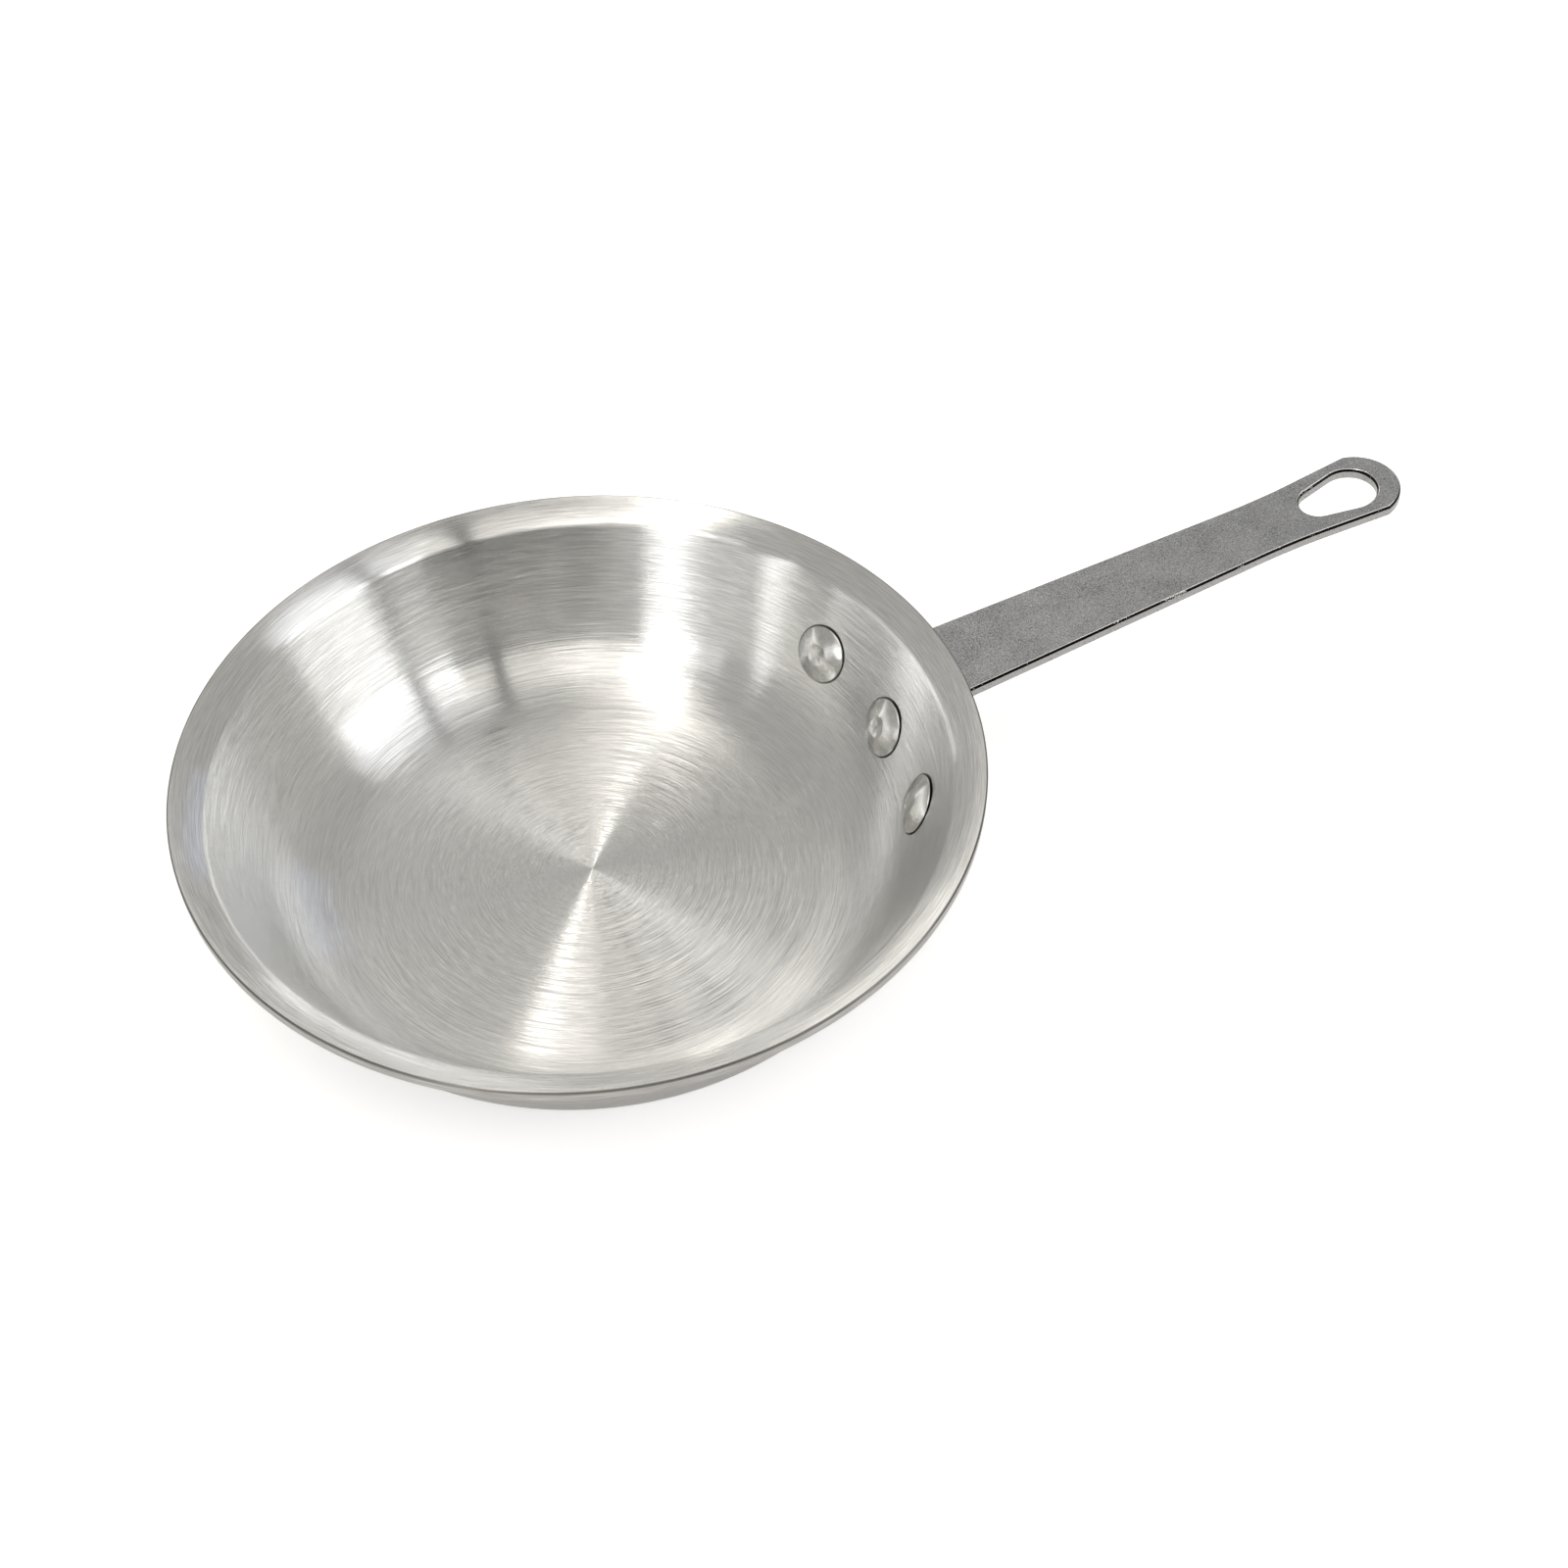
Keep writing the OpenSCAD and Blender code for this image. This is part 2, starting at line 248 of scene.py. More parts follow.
def built(name, tree, sizes, points, bows=None):
    """A plain mesh object made by a tree from a half section in millimetres."""
    mesh = bpy.data.meshes.new(name)
    mesh.from_pydata([(-(1 - x * MM), -z * MM, 0) for x, z in points],
                     [(i, i + 1) for i in range(len(points) - 1)], [])
    if bows:
        mesh.attributes.new("wall_bow", "FLOAT", "POINT").data.foreach_set("value", bows)
    source = placed(name + "_section", mesh)
    modifier = source.modifiers.new("built", "NODES")
    modifier.node_group = tree
    for item in tree.interface.items_tree:
        if item.in_out == "INPUT" and item.name in sizes:
            modifier[item.identifier] = sizes[item.name]
    bpy.context.view_layer.update()
    evaluated = source.evaluated_get(bpy.context.evaluated_depsgraph_get())
    plain = bpy.data.meshes.new_from_object(evaluated)
    plain.name = name
    bpy.data.objects.remove(source)
    return placed(name, plain)


def set_in_row(tree, row_tree, given, part):
    """Nodes that set three copies of a part in the row of rivets, with the row's sizes passed on."""
    row = node(tree, "GeometryNodeGroup", node_tree=row_tree)
    tree.links.new(part.outputs[0], row.inputs["Geometry"])
    for label, _ in ROW_SOCKETS:
        tree.links.new(given[label], row.inputs[label])
    return row


def finished(tree, given, body):
    """Nodes that shade a body smooth, give it the tree's finish and put it out."""
    whole = node(tree, "GeometryNodeRealizeInstances", {0: body})
    smooth = node(tree, "GeometryNodeSetShadeSmooth", {0: whole})
    node(tree, "NodeGroupOutput",
         {0: node(tree, "GeometryNodeSetMaterial", {"Geometry": smooth, "Material": given["Finish"]})})


def pan_tree(row_tree):
    """The bowl turned from its half section, with the three rivet holes cut through its wall."""
    tree, given = geometry_tree("turned_pan", ("Segments", "Int"), ("Hole Diameter", "Float"),
                                ("Finish", "Material"), *ROW_SOCKETS)
    body = turned(tree, given["Geometry"], given["Segments"])
    hole_r = node(tree, "ShaderNodeMath", {0: given["Hole Diameter"], 1: 0.5}, operation="MULTIPLY")
    drill = node(tree, "GeometryNodeMeshCylinder",
                 {"Vertices": DRILL_SIDES, "Radius": hole_r, "Depth": 4 * METAL_T * MM})
    holes = set_in_row(tree, row_tree, given, drill)
    cut = node(tree, "GeometryNodeMeshBoolean", {"Mesh 1": body, "Mesh 2": holes},
               operation="DIFFERENCE", solver="EXACT")
    finished(tree, given, cut)
    return tree


def rivets_tree(row_tree):
    """Three rivets turned from one half section, with their seats bowed to fit the round wall and foot."""
    tree, given = geometry_tree("rivets", ("Segments", "Int"), ("Finish", "Material"), *ROW_SOCKETS)
    spun = turned(tree, given["Geometry"], given["Segments"])
    here = node(tree, "GeometryNodeInputPosition")
    body = node(tree, "GeometryNodeStoreNamedAttribute",
                {"Geometry": spun, "Name": "own_place", "Value": here},
                data_type="FLOAT_VECTOR", domain="POINT")
    across = node(tree, "ShaderNodeSeparateXYZ", {0: here}).outputs[1]
    bow = node(tree, "GeometryNodeInputNamedAttribute", {"Name": "wall_bow"}, data_type="FLOAT")
    square = node(tree, "ShaderNodeMath", {0: across, 1: across}, operation="MULTIPLY")
    lift = node(tree, "ShaderNodeMath", {0: square, 1: bow}, operation="MULTIPLY")
    seated = node(tree, "GeometryNodeSetPosition",
                  {"Geometry": body, "Offset": node(tree, "ShaderNodeCombineXYZ", {2: lift})})
    finished(tree, given, set_in_row(tree, row_tree, given, seated))
    return tree


def rivet_section():
    """Half section of a rivet, with z = 0 on the wall's outside face, and each point's bow.

    A point y off the rivet's middle is lifted by bow * y * y, as the round wall and the round foot are.
    """
    dome_h = HEAD_H - HEAD_EDGE_H
    dome_r = ((HEAD_D / 2) ** 2 + dome_h ** 2) / (2 * dome_h)
    dish_r = ((DISH_D / 2) ** 2 + DISH_DEPTH ** 2) / (2 * DISH_DEPTH)
    crown = METAL_T + HEAD_H - dome_r

    def dome(x):
        return x, crown + math.sqrt(dome_r ** 2 - x ** 2)

    def dish(x):
        return x, dome(DISH_D / 2)[1] - DISH_DEPTH + dish_r - math.sqrt(dish_r ** 2 - x ** 2)

    # The setting tool leaves a crisp dish in the crown of the dome. Its edge is rounded between a point
    # just inside it and a point just outside it.
    within, beyond = DISH_D / 2 - DISH_EDGE_HALF, DISH_D / 2 + DISH_EDGE_HALF
    edge = (*dome(DISH_D / 2), DISH_EDGE_R)
    head_points = [dish(within * k / DISH_STEPS) for k in range(DISH_STEPS + 1)]
    head_points += rounded([(*dish(within), 0), edge, (*dome(beyond), 0)])[1:-1]
    head_points += [dome(beyond + (HEAD_D / 2 - beyond) * k / DOME_STEPS) for k in range(DOME_STEPS + 1)]
    edge_top = head_points[-1]
    seat_r = HEAD_D / 2 - HEAD_UNDERCUT
    side = rounded([(*head_points[-3], 0), (*edge_top, HEAD_ROUND_R), (seat_r, METAL_T + SEAT_GAP, 0)])[1:-1]
    in_bow = COS_L / (2 * (SEAT[0] - METAL_T * COS_L)) / MM
    out_bow = COS_L / (2 * (SEAT[0] + STRAP_T * COS_L)) / MM
    under_head = [(seat_r + (SHANK_D / 2 - seat_r) * k / SEAT_STEPS, METAL_T + SEAT_GAP)
                  for k in range(SEAT_STEPS + 1)]
    low = -(STRAP_T + 2 * SEAT_GAP)
    shank = [(SHANK_D / 2, METAL_T / 2), (SHANK_D / 2, 0.0), (SHANK_D / 2, low + 1.0)]
    over_foot = [((SHANK_D + (TAIL_D - SHANK_D) * k / FOOT_STEPS) / 2, low) for k in range(FOOT_STEPS + 1)]
    bottom = -(SEAT_GAP + STRAP_T + TAIL_H)
    tail = rounded([(TAIL_D / 2, low, 0), (TAIL_D / 2, bottom, TAIL_EDGE_R), (0, bottom, 0)])[1:]
    tail = spaced(tail, TAIL_STEP)
    points = head_points[:-2] + side + under_head + shank + over_foot + tail
    bows = ([0.0] * len(head_points[:-2] + side) + [in_bow] * len(under_head) + [0.0] * len(shank)
            + [out_bow] * len(over_foot) + [0.0] * len(tail))
    return points, bows


# The strap: one blank of flat bar, rolled on the wall, bent under the lip and out into the arm.
# s runs along the strap's upper face from the middle rivet, y across it, and d is the depth below
# that face, which is the face on the bowl's side.

FACE = (SEAT[0] + SEAT_GAP * COS_L, SEAT[1] - SEAT_GAP * SIN_L)
ARM_COS, ARM_SIN = math.cos(ARM_SLOPE), math.sin(ARM_SLOPE)
ARM_Z = PAN_H - ARM_DROP
BEND_TURN = math.pi / 2 - WALL_LEAN - ARM_SLOPE
BEND_FACE_R = BEND_R + STRAP_T
BEND_CORNER_S = ((ARM_Z - FACE[1] + (FACE[0] - RIM_R) * math.tan(ARM_SLOPE))
                 / (COS_L - SIN_L * math.tan(ARM_SLOPE)))
BEND_CORNER = (FACE[0] + BEND_CORNER_S * SIN_L, FACE[1] + BEND_CORNER_S * COS_L)
BEND_S = BEND_CORNER_S - BEND_FACE_R * math.tan(BEND_TURN / 2)
ARM_S = BEND_S + BEND_FACE_R * BEND_TURN
ARM_START = (BEND_CORNER[0] + BEND_FACE_R * math.tan(BEND_TURN / 2) * ARM_COS,
             BEND_CORNER[1] + BEND_FACE_R * math.tan(BEND_TURN / 2) * ARM_SIN)
TAPER = (ROOT_W - WAIST_W) / (ARM_REACH - WAIST_TO_TIP)


def strap_line(s, d):
    """Radius and height of the strap's middle section at s and depth d."""
    if s < BEND_S:
        return FACE[0] + s * SIN_L + d * COS_L, FACE[1] + s * COS_L - d * SIN_L
    if s > ARM_S:
        along = s - ARM_S
        return ARM_START[0] + along * ARM_COS + d * ARM_SIN, ARM_START[1] + along * ARM_SIN - d * ARM_COS
    turn = (s - BEND_S) / BEND_FACE_R
    cx, cz = FACE[0] + BEND_S * SIN_L + BEND_FACE_R * COS_L, FACE[1] + BEND_S * COS_L - BEND_FACE_R * SIN_L
    lean, reach = WALL_LEAN + turn, BEND_FACE_R - d
    return cx - reach * math.cos(lean), cz + reach * math.sin(lean)


def strap_place(s, y, d):
    """The place in space of a point of the strap, which is round about the bowl's axis, as its wall is."""
    r, z = strap_line(s, d)
    return Vector((math.sqrt(r * r - y * y), y, z)) * MM


def foot_s(u, y):
    """s of a point of the foot that is u up the wall, seen along the middle rivet's axis."""
    s = u
    for _ in range(SOLVE_ROUNDS):
        r = FACE[0] + s * SIN_L
        s = u + (r - math.sqrt(r * r - y * y)) * SIN_L
    return s


def arm_s(x, y):
    """s of a point of the arm that is x beyond the rim, seen along the arm's normal."""
    base = ARM_S + (RIM_R - ARM_START[0]) / ARM_COS
    s = base + x
    for _ in range(SOLVE_ROUNDS):
        r = strap_line(s, 0)[0]
        s = base + x + (r - math.sqrt(r * r - y * y)) * ARM_COS
    return s


def half_width(s):
    """Half the strap's width where it tapers, from over the foot to the waist."""
    r, z = strap_line(s, 0)
    return (ROOT_W - TAPER * ((r - RIM_R) * ARM_COS + (z - ARM_Z) * ARM_SIN)) / 2


def strap_outline():
    """The blank's outline in s and y, anticlockwise from the middle of the foot's lower edge."""
    neck_u = FOOT_H / 2 + ROOT_FILLET_R
    neck = half_width(neck_u)
    foot = spaced(rounded([
        (-FOOT_H / 2, 0, 0), (-FOOT_H / 2, ROW_HALF + FOOT_H / 2, FOOT_H / 2),
        (FOOT_H / 2, ROW_HALF + FOOT_H / 2, FOOT_H / 2), (FOOT_H / 2, neck, ROOT_FILLET_R),
        (neck_u, neck, 0),
    ]), OUTLINE_STEP)
    half = [(foot_s(u, y), y) for u, y in foot]
    s = half[-1][0] + OUTLINE_STEP
    while s < ARM_S + BEND_MARGIN:
        half.append((s, half_width(s)))
        s += ARM_STEP
    waist_x, tip_turn = ARM_REACH - WAIST_TO_TIP, math.asin(END_W / 2 / TIP_R)
    tip_angles = [tip_turn * (1 - k / TIP_STEPS) for k in range(TIP_STEPS + 1)]
    tip = [(ARM_REACH - TIP_R + TIP_R * math.cos(a), TIP_R * math.sin(a), 0) for a in tip_angles]
    # The arm's line starts just beyond the rim, and takes over from the last of the points above.
    arm_from = (ARM_FROM_RIM, (ROOT_W - TAPER * ARM_FROM_RIM) / 2, 0)
    arm = rounded([arm_from, (waist_x, WAIST_W / 2, WAIST_BLEND_R), *tip])
    arm = [(arm_s(x, y), y) for x, y in spaced(arm, OUTLINE_STEP)]
    last = half[-1][0]
    half += [p for p in arm if p[0] > last + LINE_CLEAR]
    return [(s, -y) for s, y in half] + half[-2:0:-1]


def eye_outline():
    """The eye's outline in s and y: two circles and the straight lines between them."""
    wide_x = ARM_REACH - EYE_TO_TIP - EYE_WIDE_D / 2
    lean = math.acos((EYE_WIDE_D - EYE_NARROW_D) / 2 / EYE_PITCH)
    points = []
    for k in range(EYE_WIDE_STEPS + 1):
        a = -(math.pi - lean) + 2 * (math.pi - lean) * k / EYE_WIDE_STEPS
        points.append((wide_x + EYE_WIDE_D / 2 * math.cos(a), EYE_WIDE_D / 2 * math.sin(a)))
    for k in range(EYE_NARROW_STEPS + 1):
        a = (math.pi - lean) + 2 * lean * k / EYE_NARROW_STEPS
        points.append((wide_x - EYE_PITCH + EYE_NARROW_D / 2 * math.cos(a), EYE_NARROW_D / 2 * math.sin(a)))
    return [(arm_s(x, y), y) for x, y in spaced(points, OUTLINE_STEP, closed=True)]


def inside(p, loop):
    """Whether the point p is inside the closed loop."""
    within = False
    for (ax, ay), (bx, by) in zip(loop, loop[1:] + loop[:1]):
        if (ay > p[1]) != (by > p[1]) and p[0] < ax + (p[1] - ay) * (bx - ax) / (by - ay):
            within = not within
    return within


def inset(loop, d):
    """A closed anticlockwise loop drawn in by d, each point square to its neighbours."""
    made = []
    for i, (x, y) in enumerate(loop):
        (ax, ay), (bx, by) = loop[i - 1], loop[(i + 1) % len(loop)]
        nx, ny = right_of((ax, ay), (bx, by))
        made.append((x - nx * d, y - ny * d))
    return made


def on_blank(p, borders):
    """Whether the point p is inside the outline borders[0] and outside every hole in borders[1:]."""
    return inside(p, borders[0]) and not any(inside(p, b) for b in borders[1:])


def rolled_edge(loop, way):
    """Rings along an edge from the upper face to the lower one: (points, places, how far rolled).

    Rolled is 0 on the upper face, 1 on the side and 2 on the lower face. way is 1 for the outline and -1 for
    the eye.
    """
    share = [k / EDGE_STEPS for k in range(EDGE_STEPS + 1)]
    turns = [(k, math.sin(math.pi / 2 * k), math.cos(math.pi / 2 * k)) for k in share]
    steps = [
        (EDGE_TOP_R + FACE_MARGIN, 0.0, 0.0),
        *[(EDGE_TOP_R * (1 - sin), EDGE_TOP_R * (1 - cos), k) for k, sin, cos in turns],
        (0.0, STRAP_T / 2, 1.0),
        *[(EDGE_LOW_R * (1 - cos), STRAP_T - EDGE_LOW_R * (1 - sin), 1 + k) for k, sin, cos in turns],
        (EDGE_LOW_R + FACE_MARGIN, STRAP_T, 2.0),
    ]
    rings = []
    for drawn_in, d, turn in steps:
        points = inset(loop, way * drawn_in)
        rings.append((points, [strap_place(s, y, d) for s, y in points], turn))
    return rings


def hole_edge(side):
    """The same rings for a rivet's hole, drilled along the rivet's axis in that rivet's own plane."""
    turn, rise, radius = side * RIVET_STEP, abs(side) * ROW_RISE / COS_L, SHANK_D / 2 + SHANK_GAP
    rings = []
    for d in (0.0, STRAP_T):
        points, places = [], []
        for k in range(HOLE_STEPS):
            a = -math.tau * k / HOLE_STEPS
            u, y = rise + radius * math.cos(a), radius * math.sin(a)
            p = strap_place(foot_s(u, y), y, d)
            x = p.x * math.cos(turn) - p.y * math.sin(turn)
            y = p.x * math.sin(turn) + p.y * math.cos(turn)
            places.append(Vector((x, y, p.z)))
            points.append((foot_s(u, 0), y / MM))
        rings.append((points, places, 2 * d / STRAP_T))
    return rings


def add_wall(bm, rolled, rings):
    """Joins rings into a wall, and returns the first and the last, each (points, vertices)."""
    made = []
    for points, places, turn in rings:
        verts = [bm.verts.new(p) for p in places]
        for v in verts:
            v[rolled] = turn
        made.append((points, verts))
    for (_, a), (_, b) in zip(made, made[1:]):
        for i in range(len(a)):
            j = (i + 1) % len(a)
            bm.faces.new((a[i], a[j], b[j], b[i]))
    return made[0], made[-1]


def grid_on(borders):
    """An even grid of points that fills the blank, clear of its outline and its holes."""
    s, top = min(p[0] for p in borders[0]), max(p[0] for p in borders[0])
    half = max(p[1] for p in borders[0])
    points = []
    while s < top:
        s += BEND_GRID if BEND_S - BEND_MARGIN < s < ARM_S + BEND_MARGIN else FACE_GRID
        for k in range(math.ceil(2 * half / FACE_GRID)):
            p = (s, k * FACE_GRID - half)
            if on_blank(p, borders) and min(math.dist(p, q) for b in borders for q in b) > GRID_CLEAR:
                points.append(Vector(p))
    return points


def add_face(bm, rolled, loops, d, turn):
    """Fills the strap's face at depth d with even triangles, between its outline and its holes."""
    borders = [points for points, _ in loops]
    flat, edges, known = [], [], []
    for points, verts in loops:
        first = len(flat)
        flat += [Vector(p) for p in points]
        known += verts
        edges += [(first + i, first + (i + 1) % len(points)) for i in range(len(points))]
    verts, _, faces, origins, _, _ = delaunay_2d_cdt(flat + grid_on(borders), edges, [], 0, 1e-7)
    made = {}
    for i, sources in enumerate(origins):
        on_ring = [k for k in sources if k < len(known)]
        if on_ring:
            made[i] = known[on_ring[0]]
    for tri in faces:
        middle = tuple(sum(verts[i][axis] for i in tri) / 3 for axis in (0, 1))
        if not on_blank(middle, borders):
            continue
        for i in tri:
            if i not in made:
                made[i] = bm.verts.new(strap_place(verts[i][0], verts[i][1], d))
                made[i][rolled] = turn
        bm.faces.new([made[i] for i in (tri if turn == 0 else reversed(tri))])


def strap_mesh(name, finish):
    """The strap as one closed mesh: rolled edges round the blank and the eye, drilled holes, smooth faces."""
    bm = bmesh.new()
    rolled = bm.verts.layers.float.new("rolled")
    walls = [rolled_edge(strap_outline(), 1), rolled_edge(eye_outline(), -1)]
    walls += [hole_edge(side) for side in (-1, 0, 1)]
    ends = [add_wall(bm, rolled, rings) for rings in walls]
    add_face(bm, rolled, [upper for upper, _ in ends], 0.0, 0.0)
    add_face(bm, rolled, [lower for _, lower in ends], STRAP_T, 2.0)
    bmesh.ops.recalc_face_normals(bm, faces=bm.faces)
    for f in bm.faces:
        f.smooth = True
    mesh = bpy.data.meshes.new(name)
    bm.to_mesh(mesh)
    bm.free()
    mesh.materials.append(finish)
    return placed(name, mesh)


# Finishes. The painted dark line and the burnished band are shares of the way round the strap's rolled edge.
# Slopes of the grooves are rise over run, and the swing is how far a groove turns off its circle. The painted
# shade round a rivet's head starts and ends so many millimetres beyond the head.

PAINTED_LINE, PAINTED_LINE_HALF, BURNISHED, BURNISHED_HALF = 0.65, 0.30, 0.60, 0.38
GROOVE_SLOPE, WALL_GROOVE_SLOPE, GROOVE_SWING = 1.3, 0.45, 0.05
SHADE_RING_FROM, SHADE_RING_TO = 0.15, 0.5


def linear(code):
    """An sRGB hex colour as linear RGBA."""
    parts = [int(code[i:i + 2], 16) / 255 for i in (1, 3, 5)]
    return (*[p / 12.92 if p <= 0.04045 else ((p + 0.055) / 1.055) ** 2.4 for p in parts], 1.0)


def material(name):
    """A new material, its node tree and its shader."""
    made = bpy.data.materials.new(name)
    made.use_nodes = True
    return made, made.node_tree, made.node_tree.nodes["Principled BSDF"]


def round_the_axis(tree):
    """The place, the ways outward from the bowl's axis and round it, radius, height, and the run in mm."""
    place = node(tree, "ShaderNodeTexCoord").outputs["Object"]
    level = node(tree, "ShaderNodeVectorMath", {0: place, 1: (1, 1, 0)}, operation="MULTIPLY")
    outward = node(tree, "ShaderNodeVectorMath", {0: level}, operation="NORMALIZE")
    around = node(tree, "ShaderNodeVectorMath", {0: (0, 0, 1), 1: outward}, operation="CROSS_PRODUCT")
    radius = node(tree, "ShaderNodeVectorMath", {0: level}, operation="LENGTH").outputs["Value"]
    height = node(tree, "ShaderNodeSeparateXYZ", {0: place}).outputs[2]
    metres = node(tree, "ShaderNodeMath", {0: radius, 1: height}, operation="ADD")
    run = node(tree, "ShaderNodeMath", {0: metres, 1: MM}, operation="DIVIDE")
    return place, outward, around, radius, height, run


def grooves(tree, outward, run, pitch, arcs, detail):
    """Noise drawn out into arcs round the axis: about one groove per pitch (mm) and arcs marks per radian."""
    across = node(tree, "ShaderNodeMath", {0: run, 1: pitch}, operation="DIVIDE")
    place = node(tree, "ShaderNodeVectorMath",
                 {0: outward, 1: (arcs, arcs, arcs), 2: node(tree, "ShaderNodeCombineXYZ", {2: across})},
                 operation="MULTIPLY_ADD")
    return node(tree, "ShaderNodeTexNoise",
                {"Vector": place, "Scale": 1.0, "Detail": detail, "Roughness": 0.6})


def off_rivet_axis(tree, place):
    """How far a place on the bowl is from the axis of the nearest rivet."""
    x, y, _ = node(tree, "ShaderNodeSeparateXYZ", {0: place}).outputs
    turn = node(tree, "ShaderNodeMath", {0: y, 1: x}, operation="ARCTAN2")
    side = node(tree, "ShaderNodeMath", {0: turn, 1: RIVET_STEP}, operation="DIVIDE")
    side = node(tree, "ShaderNodeMath", {0: side}, operation="ROUND")
    side = node(tree, "ShaderNodeClamp", {"Value": side, "Min": -1.0, "Max": 1.0})
    back = node(tree, "ShaderNodeMath", {0: side, 1: -RIVET_STEP}, operation="MULTIPLY")
    in_row = node(tree, "ShaderNodeVectorRotate", {"Vector": place, "Angle": back}, rotation_type="Z_AXIS")
    outer = node(tree, "ShaderNodeMath", {0: side}, operation="ABSOLUTE")
    seat = node(tree, "ShaderNodeMix", {0: outer, 4: (SEAT[0] * MM, 0, SEAT[1] * MM),
                                        5: (ROW_R * MM, 0, (SEAT[1] + ROW_RISE) * MM)}, data_type="VECTOR")
    from_seat = node(tree, "ShaderNodeVectorMath", {0: in_row, 1: seat.outputs[1]}, operation="SUBTRACT")
    off_axis = node(tree, "ShaderNodeVectorMath", {0: from_seat, 1: (-COS_L, 0, SIN_L)},
                    operation="CROSS_PRODUCT")
    return node(tree, "ShaderNodeVectorMath", {0: off_axis}, operation="LENGTH").outputs["Value"]


def circular_brushed_aluminium():
    """Sheet spun to shape and brushed on the lathe: fine circular grooves that draw lamps out into rays."""
    made, tree, shader = material("circular_brushed_aluminium")
    place, outward, around, radius, height, run = round_the_axis(tree)
    # The grooves are 0.1 mm apart, drawn a few times coarser than real brushing so that they show. The metal
    # is a light, nearly neutral grey.
    fine = grooves(tree, outward, run, 0.1, 2.5, 1.0)
    coarse = grooves(tree, outward, run, 0.5, 3.0, 2.0)
    # Single hairlines, 0.3 mm apart and some millimetres long, stay brighter or darker than the rest. The pad
    # rests longer on the floor, and leaves them fainter there than on the wall.
    hairlines = grooves(tree, outward, run, 0.3, 11.0, 1.5)
    hairlines = node(tree, "ShaderNodeMath", {0: hairlines, 1: 0.5}, operation="SUBTRACT")
    contrast = node(tree, "ShaderNodeMapRange", {"Value": height, "From Min": 0.006, "From Max": 0.030,
                                                 "To Min": 1.5, "To Max": 2.8})
    hairlines = node(tree, "ShaderNodeMath", {0: hairlines, 1: contrast, 2: 0.5}, operation="MULTIPLY_ADD")
    bare = node(tree, "ShaderNodeMix", {0: hairlines, 6: linear("#D6D6D4"), 7: linear("#EFEFEE")},
                data_type="RGBA")
    # The outside isn't brushed after it is spun. It stays greyer, with the spinning tool's own fine lines.
    true_normal = node(tree, "ShaderNodeNewGeometry").outputs["Normal"]
    out_and_down = node(tree, "ShaderNodeVectorMath", {0: outward, 1: (0, 0, -1)}, operation="ADD")
    faces_out = node(tree, "ShaderNodeVectorMath", {0: true_normal, 1: out_and_down},
                     operation="DOT_PRODUCT").outputs["Value"]
    outside = node(tree, "ShaderNodeMath", {0: faces_out, 1: 0.0}, operation="GREATER_THAN")
    spun = node(tree, "ShaderNodeMix", {0: hairlines, 6: linear("#A8A6A3"), 7: linear("#CAC8C5")},
                data_type="RGBA")
    bare = node(tree, "ShaderNodeMix", {0: outside, 6: bare.outputs[2], 7: spun.outputs[2]}, data_type="RGBA")
    # The lip's corner is trimmed by a tool after brushing, and is left duller. Its darker colour is painted
    # shade: the dark outline along the rim's edge.
    edge = node(tree, "ShaderNodeMapRange", {"Value": radius, "From Min": (RIM_R - TRIM_AND_SHADE_W) * MM,
                                             "From Max": (RIM_R - TRIM_AND_SHADE_W / 2) * MM})
    top = node(tree, "ShaderNodeMapRange", {"Value": height, "From Min": (PAN_H - 2 * TRIM_AND_SHADE_W) * MM,
                                            "From Max": (PAN_H - TRIM_AND_SHADE_W) * MM})
    trimmed_and_shaded = node(tree, "ShaderNodeMath", {0: edge, 1: top}, operation="MULTIPLY")
    tint = node(tree, "ShaderNodeMix", {0: trimmed_and_shaded, 6: bare.outputs[2], 7: linear("#868481")},
                data_type="RGBA")
    shader.inputs["Metallic"].default_value = 1.0
    # A thin dark ring of painted shade lies in the crease round each rivet head.
    off_axis = off_rivet_axis(tree, place)
    painted_ring_shade = node(tree, "ShaderNodeMapRange", {"Value": off_axis, "From Min": (HEAD_D / 2 + SHADE_RING_FROM) * MM,
                                              "From Max": (HEAD_D / 2 + SHADE_RING_TO) * MM,
                                              "To Min": 0.85, "To Max": 0.0})
    tint = node(tree, "ShaderNodeMix", {0: painted_ring_shade, 6: tint.outputs[2], 7: linear("#3A3936")}, data_type="RGBA")
    tree.links.new(tint.outputs[2], shader.inputs["Base Color"])
    # Brushing leaves some bands sharper than others, and wiping leaves soft clouds 25 mm wide.
    clouds = node(tree, "ShaderNodeTexNoise", {"Vector": place, "Scale": 1 / 0.025, "Detail": 2.0})
    worn = node(tree, "ShaderNodeMix", {0: 0.35, 2: coarse, 3: clouds})
    brushed = node(tree, "ShaderNodeMapRange",
                   {"Value": worn, "From Min": 0.3, "From Max": 0.7, "To Min": 0.21, "To Max": 0.235})
    rough = node(tree, "ShaderNodeMath", {0: trimmed_and_shaded, 1: 0.15, 2: brushed}, operation="MULTIPLY_ADD")
    tree.links.new(rough.outputs[0], shader.inputs["Roughness"])
    shader.inputs["Anisotropic"].default_value = 1.0
